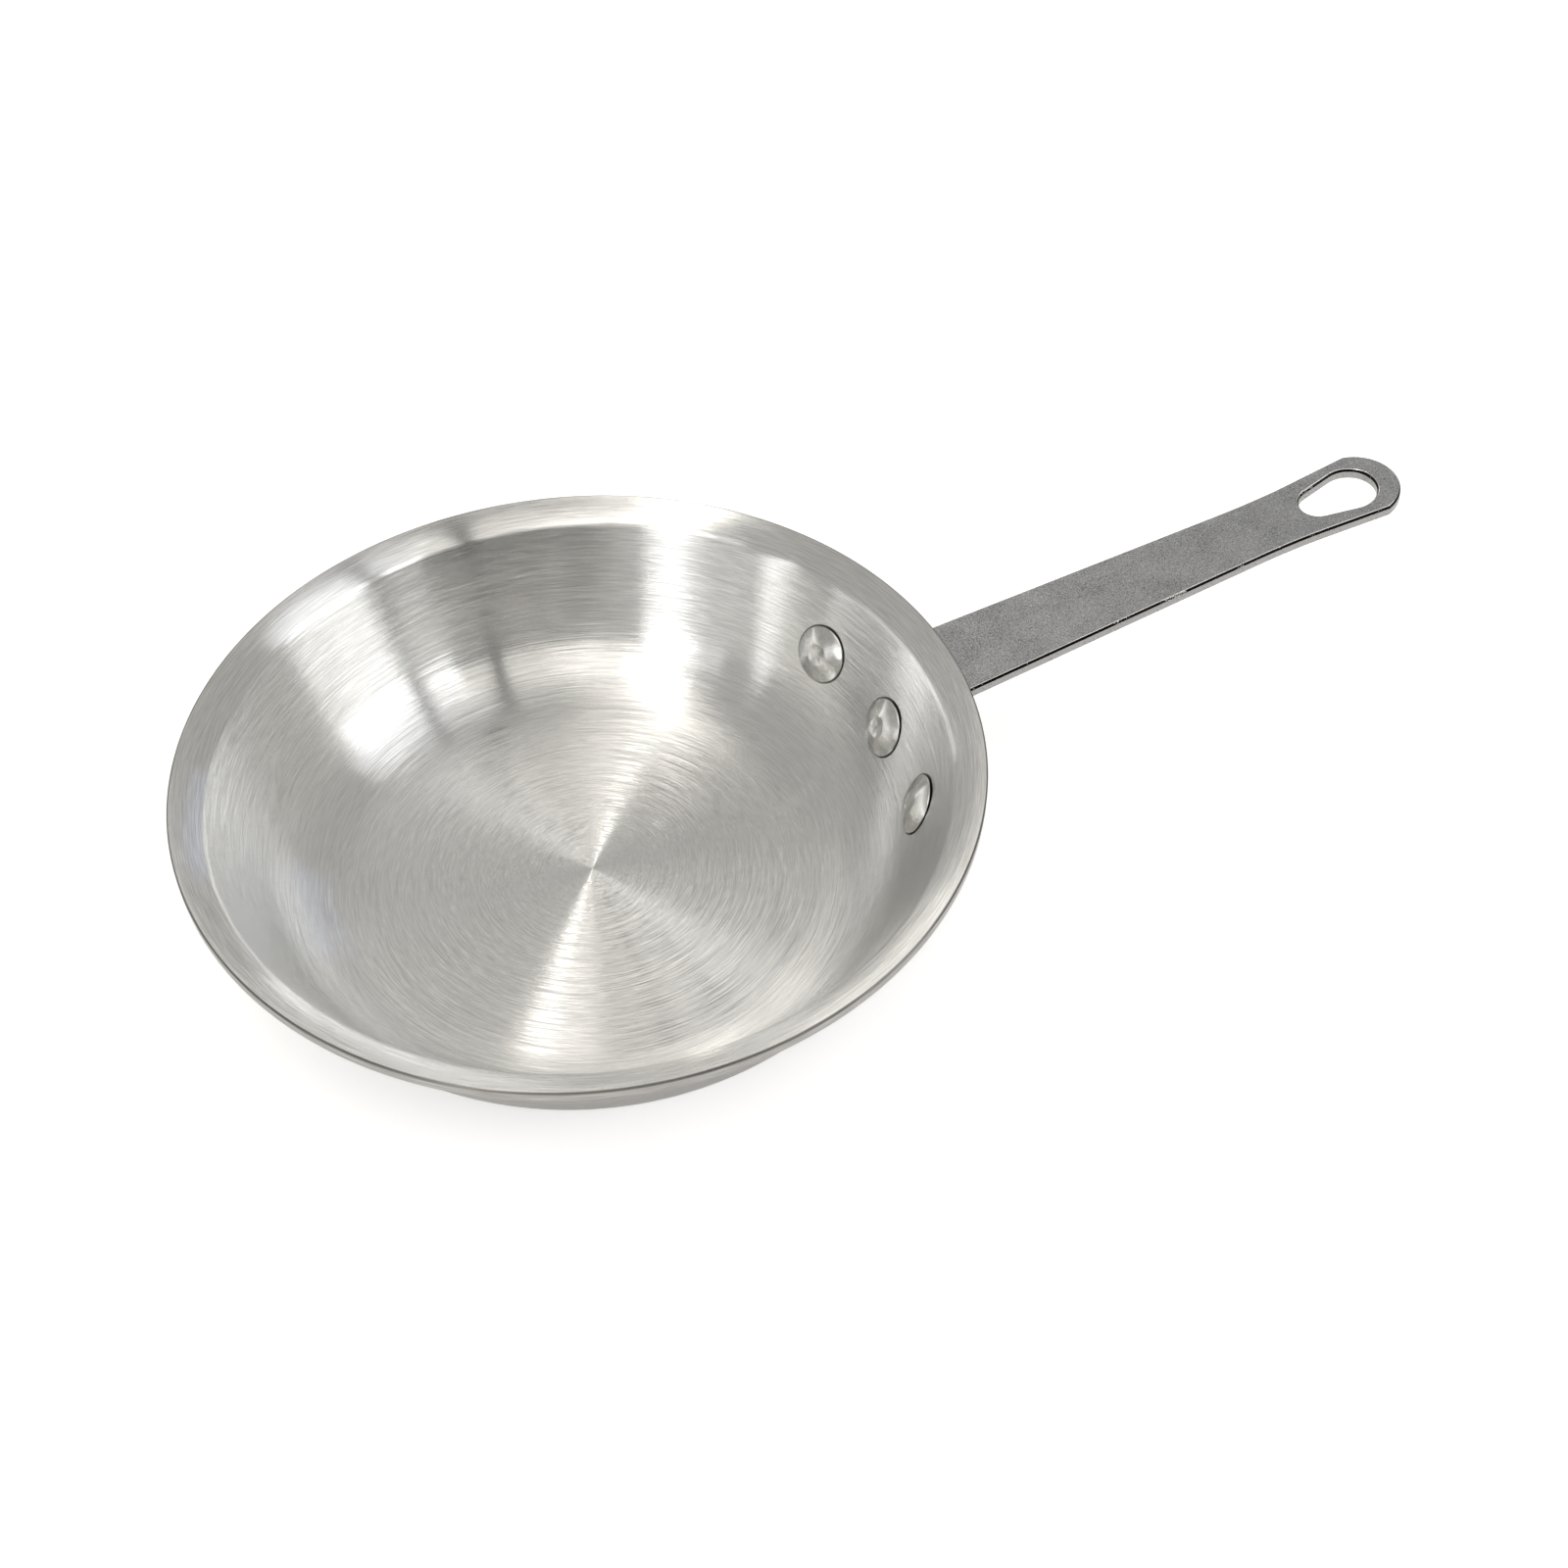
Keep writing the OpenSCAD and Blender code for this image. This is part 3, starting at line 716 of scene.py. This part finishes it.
    # Each groove on the floor tips the face in or out by up to about 20 degrees, so a lamp spreads along the
    # radius only. The wall runs past the pad faster than the floor does, and gets shallower grooves. The pad
    # dwells in the middle of the floor, and cuts stronger grooves there, about 0.5 mm apart.
    dwelt = node(tree, "ShaderNodeMapRange", {"Value": radius, "From Min": 0.005, "From Max": 0.030,
                                              "To Min": 0.03, "To Max": 0.0})
    both = node(tree, "ShaderNodeMix", {0: dwelt, 2: fine, 3: coarse})
    steep = node(tree, "ShaderNodeMapRange", {"Value": height, "From Min": 0.006, "From Max": 0.038,
                                              "To Min": GROOVE_SLOPE, "To Max": WALL_GROOVE_SLOPE})
    slope = node(tree, "ShaderNodeMath", {0: both, 1: 0.5}, operation="SUBTRACT")
    slope = node(tree, "ShaderNodeMath", {0: slope, 1: steep}, operation="MULTIPLY")
    down_wall = node(tree, "ShaderNodeVectorMath", {0: true_normal, 1: around}, operation="CROSS_PRODUCT")
    tipped = node(tree, "ShaderNodeVectorMath", {0: down_wall, 1: slope, 2: true_normal},
                  operation="MULTIPLY_ADD")
    tree.links.new(node(tree, "ShaderNodeVectorMath", {0: tipped}, operation="NORMALIZE").outputs[0],
                   shader.inputs["Normal"])
    # The grooves wander by a few degrees, which frays the edges of the rays.
    wander = grooves(tree, outward, run, 0.6, 14.0, 1.0)
    swing = node(tree, "ShaderNodeMath", {0: wander, 1: GROOVE_SWING, 2: -GROOVE_SWING / 2},
                 operation="MULTIPLY_ADD")
    grain = node(tree, "ShaderNodeVectorMath", {0: around, 1: swing, 2: outward}, operation="MULTIPLY_ADD")
    tree.links.new(node(tree, "ShaderNodeVectorMath", {0: grain}, operation="NORMALIZE").outputs[0],
                   shader.inputs["Tangent"])
    return made


def dull_zinc_plate():
    """Zinc plate on blanked bar: the plate's crystals give a salt-and-pepper grey, and the edges shine."""
    made, tree, shader = material("dull_zinc_plate")
    place = node(tree, "ShaderNodeTexCoord").outputs["Object"]
    rolled = node(tree, "ShaderNodeAttribute", attribute_name="rolled").outputs["Fac"]
    # Crystals are about 0.3 mm wide, and the bath leaves faint clouds about 8 mm wide.
    crystals = node(tree, "ShaderNodeTexNoise", {"Vector": place, "Scale": 1 / 0.00032, "Detail": 1.0,
                                                 "Roughness": 0.6})
    clouds = node(tree, "ShaderNodeTexNoise", {"Vector": place, "Scale": 1 / 0.008, "Detail": 3.0})
    grain = node(tree, "ShaderNodeMix", {0: 0.2, 2: crystals, 3: clouds})
    dull = node(tree, "ShaderNodeMapRange", {"Value": grain, "From Min": 0.32, "From Max": 0.68})
    face = node(tree, "ShaderNodeMix", {0: dull, 6: linear("#797A7C"), 7: linear("#D0D1D2")},
                data_type="RGBA")
    # Handling rubs the edges nearly clean, with the dull plate left on them in specks.
    near_side = node(tree, "ShaderNodeMath", {0: rolled, 1: 1.0, 2: 0.92}, operation="COMPARE")
    rubbed = node(tree, "ShaderNodeMath", {0: dull, 1: 0.5, 2: near_side}, operation="MULTIPLY_ADD")
    bright = node(tree, "ShaderNodeMapRange", {"Value": rubbed, "From Min": 0.9, "From Max": 1.3})
    clean = node(tree, "ShaderNodeMix", {0: bright, 6: face.outputs[2], 7: linear("#B4B3B1")},
                 data_type="RGBA")
    # Either side of the painted dark line the edge is burnished bright.
    by_line = node(tree, "ShaderNodeMath", {0: rolled, 1: BURNISHED, 2: BURNISHED_HALF}, operation="COMPARE")
    shiny = node(tree, "ShaderNodeMath", {0: by_line, 1: bright}, operation="MULTIPLY")
    clean = node(tree, "ShaderNodeMix", {0: shiny, 6: clean.outputs[2], 7: linear("#EDECEA")},
                 data_type="RGBA")
    # A thin black line, broken in places, is painted on the rolled edge. It is a painted reflection: the dark
    # line that the rounded edge mirrors.
    on_painted_line = node(tree, "ShaderNodeMath", {0: rolled, 1: PAINTED_LINE, 2: PAINTED_LINE_HALF},
                   operation="COMPARE")
    breaks = node(tree, "ShaderNodeMapRange", {"Value": clouds, "From Min": 0.38, "From Max": 0.50,
                                               "To Min": 0.50, "To Max": 0.05})
    kept = node(tree, "ShaderNodeMath", {0: crystals, 1: breaks}, operation="GREATER_THAN")
    painted_dark_line = node(tree, "ShaderNodeMath", {0: on_painted_line, 1: kept}, operation="MULTIPLY")
    tint = node(tree, "ShaderNodeMix", {0: painted_dark_line, 6: clean.outputs[2], 7: linear("#1E1E1D")},
                data_type="RGBA")
    tree.links.new(tint.outputs[2], shader.inputs["Base Color"])
    shader.inputs["Metallic"].default_value = 1.0
    rough = node(tree, "ShaderNodeMapRange", {"Value": dull, "To Min": 0.62, "To Max": 0.42})
    finish = node(tree, "ShaderNodeMix", {0: bright, 2: rough, 3: 0.16})
    tree.links.new(finish.outputs[0], shader.inputs["Roughness"])
    bump = node(tree, "ShaderNodeBump", {"Strength": 1.0, "Distance": 0.00002, "Height": crystals})
    tree.links.new(bump.outputs[0], shader.inputs["Normal"])
    return made


def set_rivet_aluminium():
    """Aluminium rivets closed by a turned set: a soft shine that fans out round each head's middle."""
    made, tree, shader = material("set_rivet_aluminium")
    own = node(tree, "ShaderNodeAttribute", attribute_name="own_place").outputs["Vector"]
    seat = node(tree, "ShaderNodeAttribute", attribute_name="own_seat").outputs["Vector"]
    level = node(tree, "ShaderNodeVectorMath", {0: own, 1: (1, 1, 0)}, operation="MULTIPLY")
    radius = node(tree, "ShaderNodeVectorMath", {0: level}, operation="LENGTH").outputs["Value"]
    place = node(tree, "ShaderNodeTexCoord").outputs["Object"]
    smudges = node(tree, "ShaderNodeTexNoise", {"Vector": place, "Scale": 1 / 0.0025, "Detail": 3.0})
    # The tool's rings are about 0.3 mm apart, and handling leaves faint smudges 2.5 mm wide.
    ring = node(tree, "ShaderNodeMath", {0: radius, 1: 0.0003}, operation="DIVIDE")
    rings = node(tree, "ShaderNodeTexNoise",
                 {"Vector": node(tree, "ShaderNodeCombineXYZ", {0: ring}), "Scale": 1.0, "Detail": 2.0})
    clean = node(tree, "ShaderNodeMix", {0: smudges, 6: linear("#C4C3C0"), 7: linear("#E4E3E0")},
                 data_type="RGBA")
    # Painted shade darkens the crease where a head meets the wall, and where a tail meets the strap.
    depth = node(tree, "ShaderNodeMath", {0: node(tree, "ShaderNodeSeparateXYZ", {0: own}).outputs[2]},
                 operation="ABSOLUTE")
    painted_crease_shade = node(tree, "ShaderNodeMath", {0: depth, 1: METAL_T * MM + 0.0002, 2: 0.0003},
                  operation="COMPARE")
    tint = node(tree, "ShaderNodeMix", {0: painted_crease_shade, 6: clean.outputs[2], 7: linear("#4A4946")},
                data_type="RGBA")
    tree.links.new(tint.outputs[2], shader.inputs["Base Color"])
    shader.inputs["Metallic"].default_value = 1.0
    rough = node(tree, "ShaderNodeMapRange", {"Value": smudges, "From Min": 0.3, "From Max": 0.7,
                                              "To Min": 0.20, "To Max": 0.26})
    tree.links.new(rough.outputs[0], shader.inputs["Roughness"])
    shader.inputs["Anisotropic"].default_value = 0.7
    outward = node(tree, "ShaderNodeVectorMath", {0: place, 1: seat}, operation="SUBTRACT")
    tree.links.new(node(tree, "ShaderNodeVectorMath", {0: outward}, operation="NORMALIZE").outputs[0],
                   shader.inputs["Tangent"])
    bump = node(tree, "ShaderNodeBump", {"Strength": 1.0, "Distance": 0.00001, "Height": rings})
    tree.links.new(bump.outputs[0], shader.inputs["Normal"])
    return made


aluminium, plate, rivet_finish = circular_brushed_aluminium(), dull_zinc_plate(), set_rivet_aluminium()

row_tree = rivet_row_tree()
pan_sizes = {"Segments": PAN_SEGMENTS, "Hole Diameter": (SHANK_D + 2 * SHANK_GAP) * MM, "Finish": aluminium}
pan = built("bowl", pan_tree(row_tree), {**pan_sizes, **ROW_SIZES}, pan_section())
rivet_sizes = {"Segments": RIVET_SEGMENTS, "Finish": rivet_finish}
rivets = built("rivets", rivets_tree(row_tree), {**rivet_sizes, **ROW_SIZES}, *rivet_section())
strap = strap_mesh("strap", plate)

for piece, slot, nodes in (
    (pan, "spun_aluminium", ("pan_body",)),
    (strap, "plated_steel", ("handle",)),
    (rivets, "rivet_aluminium", ("rivet_left", "rivet_middle", "rivet_right")),
):
    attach(piece, "root")
    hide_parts(*nodes)

# The stage: a white floor that keeps a faint shadow, softboxes in a grey studio, and the camera where the
# photograph was taken. Bearings are degrees anticlockwise from the way that the camera looks.

CAMERA_PLACE, CAMERA_TILT, CAMERA_TURN = (-0.09468, -0.35133, 0.42432), 47.15, -23.1
LENS, SENSOR_W = 48.0, 36.0
FORWARD = math.radians(90 + CAMERA_TURN)
FLOOR_GLOW, MIRRORED_GLOW, FLOOR_R, FLOOR_SIDES = 0.5, 0.15, 1.5, 64
# The studio's level, and that of its dark part, with that part's middle and the cosines of the angles from
# there at which it fades in and is full
STUDIO_LEVEL, DARK_LEVEL = 0.45, 0.02
DARK_BEARING, DARK_ELEVATION, DARK_START, DARK_FULL = -149, -10, 0.73, 0.76
LAMP_DISTANCE = 1.6
FLAG_FOOT, FLAG_END, FLAG_STEPS, FLAG_DISTANCE = 2, 105, 24, 1.4
FLAGS = {
    # name: azimuth of the ray that it draws, its lean to the side of the zenith and its width, in degrees
    "right_flag": (90, 10, 2.6),
    "left_flag": (108.5, 20.7, 1.8),
}
SOFTBOXES = {
    # name: bearing, elevation, width and height in degrees as seen from the pan, lean, radiance, colour
    "right_softbox": (-100, 25, 27, 26, 8, 2.2, "#FCFDFF"),  # the broad highlight on the left of the wall
    "right_top_panel": (-78, 57, 24, 35, -27, 0.9, "#F9FBFF"),
    "right_back_panel": (-122, 39, 9, 21, -9, 2.7, "#FFFFFF"),
    "back_strip": (152, 29, 12, 23, 33, 4.3, "#FFFFFF"),  # the white streak down the far wall
    "back_strip_top": (135, 38, 10, 12, 12, 1.4, "#FFFFFF"),
    "back_top_left": (168, 65, 32, 17, -39, 1.6, "#FFFBF4"),
    "back_top_right": (-144, 63, 29, 46, -1, 0.7, "#FFFBF4"),
    "overhead_panel": (137, 70, 24, 5, -28, 3.3, "#FFFBF4"),
    "left_low_window": (122, 14, 4, 28, 27, 2.4, "#FFFFFF"),
    "high_front_lamp": (16, 66, 5, 5, 8, 5.0, "#FFFBF4"),  # the near streak on the floor
    "front_window": (14, 32, 10, 34, 11, 0.9, "#FFFBF4"),
    "front_right_window": (-29, 24, 22, 9, 6, 0.6, "#C4D7FF"),  # the cool tint low on the left of the wall
    "top_slit": (77, 78, 30, 3, 10, 6.2, "#FFFBF4"),
    "left_low_strip": (75, 10, 58, 9, 0, 1.4, "#FFFFFF"),  # the rivets' heads and the crease of the lip
    "front_low_slit": (0, 5, 13, 7, 0, 2.1, "#FFFFFF"),  # the near part of the lip
}


def direction(bearing, elevation):
    """The unit vector from the pan to a bearing and an elevation in degrees."""
    a, e = FORWARD + math.radians(bearing), math.radians(elevation)
    return Vector((math.cos(e) * math.cos(a), math.cos(e) * math.sin(a), math.sin(e)))


for name, (bearing, elevation, width, height, lean, radiance, colour) in SOFTBOXES.items():
    lamp = bpy.data.lights.new(name, "AREA")
    lamp.shape = "RECTANGLE"
    lamp.size = 2 * LAMP_DISTANCE * math.tan(math.radians(width / 2))
    lamp.size_y = 2 * LAMP_DISTANCE * math.tan(math.radians(height / 2))
    # An area lamp of this power shows the given radiance.
    lamp.energy = radiance * math.pi * lamp.size * lamp.size_y
    lamp.color = linear(colour)[:3]
    place = direction(bearing, elevation)
    facing = place.to_track_quat("Z", "Y").to_matrix().to_4x4() @ Matrix.Rotation(math.radians(lean), 4, "Z")
    holder = placed(name, lamp)
    holder.location = place * LAMP_DISTANCE
    holder.rotation_euler = facing.to_euler()
    holder.visible_camera = False

# The floor lies 0.1 mm below the pan, so that the two faces don't share a plane.
corners = [math.tau * k / FLOOR_SIDES for k in range(FLOOR_SIDES)]
floor_mesh = bpy.data.meshes.new("floor")
floor_mesh.from_pydata([(math.cos(a) * FLOOR_R, math.sin(a) * FLOOR_R, -0.0001) for a in corners],
                       [], [list(range(FLOOR_SIDES))])
floor = placed("floor", floor_mesh)
made, tree, shader = material("white_studio_floor")
shader.inputs["Base Color"].default_value = linear("#F2F2F2")
shader.inputs["Roughness"].default_value = 0.9
floor_mesh.materials.append(made)
# A glow lifts it to white for the camera, and part of the way in the metal's reflections of it, and its
# diffuse part keeps the pan's shadow.
path = node(tree, "ShaderNodeLightPath").outputs
mirrored = node(tree, "ShaderNodeMath", {0: path["Is Glossy Ray"], 1: path["Is Transmission Ray"]},
                operation="ADD")
mirrored = node(tree, "ShaderNodeMath", {0: mirrored, 1: MIRRORED_GLOW}, operation="MULTIPLY")
glow = node(tree, "ShaderNodeMath", {0: path["Is Camera Ray"], 1: FLOOR_GLOW, 2: mirrored},
            operation="MULTIPLY_ADD")
tree.links.new(glow.outputs[0], shader.inputs["Emission Strength"])
shader.inputs["Emission Color"].default_value = (1, 1, 1, 1)

# Two narrow black flags arch over the pan from low behind the camera. Each lies along the path of light that
# one radius of the bowl mirrors, and draws a thin dark ray there from the corner of the floor to the lip.
made, tree, shader = material("black_felt")
shader.inputs["Base Color"].default_value = linear("#0C0C0C")
shader.inputs["Roughness"].default_value = 1.0
for name, (azimuth, side, width) in FLAGS.items():
    swung = Matrix.Rotation(math.radians(azimuth - 90), 3, "Z") * FLAG_DISTANCE
    rims = []
    for step in range(FLAG_STEPS + 1):
        rise = math.radians(FLAG_FOOT + (FLAG_END - FLAG_FOOT) * step / FLAG_STEPS)
        for a in (math.radians(side - width / 2), math.radians(side + width / 2)):
            back, up = -math.cos(a) * math.cos(rise), math.cos(a) * math.sin(rise)
            rims.append(swung @ Vector((math.sin(a), back, up)))
    flag_mesh = bpy.data.meshes.new(name)
    flag_mesh.from_pydata(rims, [], [[2 * k, 2 * k + 1, 2 * k + 3, 2 * k + 2] for k in range(FLAG_STEPS)])
    flag_mesh.materials.append(made)
    flag = placed(name, flag_mesh)
    flag.visible_camera = False

# The studio is mid grey, and dark low down behind the camera.
world = bpy.data.worlds.new("studio")
bpy.context.scene.world = world
world.use_nodes = True
tree = world.node_tree
way = node(tree, "ShaderNodeTexCoord").outputs["Generated"]
toward_dark = node(tree, "ShaderNodeVectorMath", {0: way, 1: direction(DARK_BEARING, DARK_ELEVATION)},
                   operation="DOT_PRODUCT").outputs["Value"]
level = node(tree, "ShaderNodeMapRange", {"Value": toward_dark, "From Min": DARK_START, "From Max": DARK_FULL,
                                          "To Min": STUDIO_LEVEL, "To Max": DARK_LEVEL})
direct = node(tree, "ShaderNodeLightPath").outputs["Is Camera Ray"]
seen = node(tree, "ShaderNodeMix", {0: direct, 2: level, 3: 1.0})
tint = node(tree, "ShaderNodeMix", {0: direct, 6: linear("#FFFCF7"), 7: (1, 1, 1, 1)}, data_type="RGBA")
background = tree.nodes["Background"]
tree.links.new(tint.outputs[2], background.inputs["Color"])
tree.links.new(seen.outputs[0], background.inputs["Strength"])

camera_data = bpy.data.cameras.new("camera")
camera_data.lens, camera_data.sensor_width = LENS, SENSOR_W
camera_data.clip_start = 0.01
camera = placed("camera", camera_data)
camera.location = CAMERA_PLACE
camera.rotation_euler = (math.radians(90 - CAMERA_TILT), 0, math.radians(CAMERA_TURN))
bpy.context.scene.camera = camera
bpy.context.scene.view_settings.view_transform = "Standard"
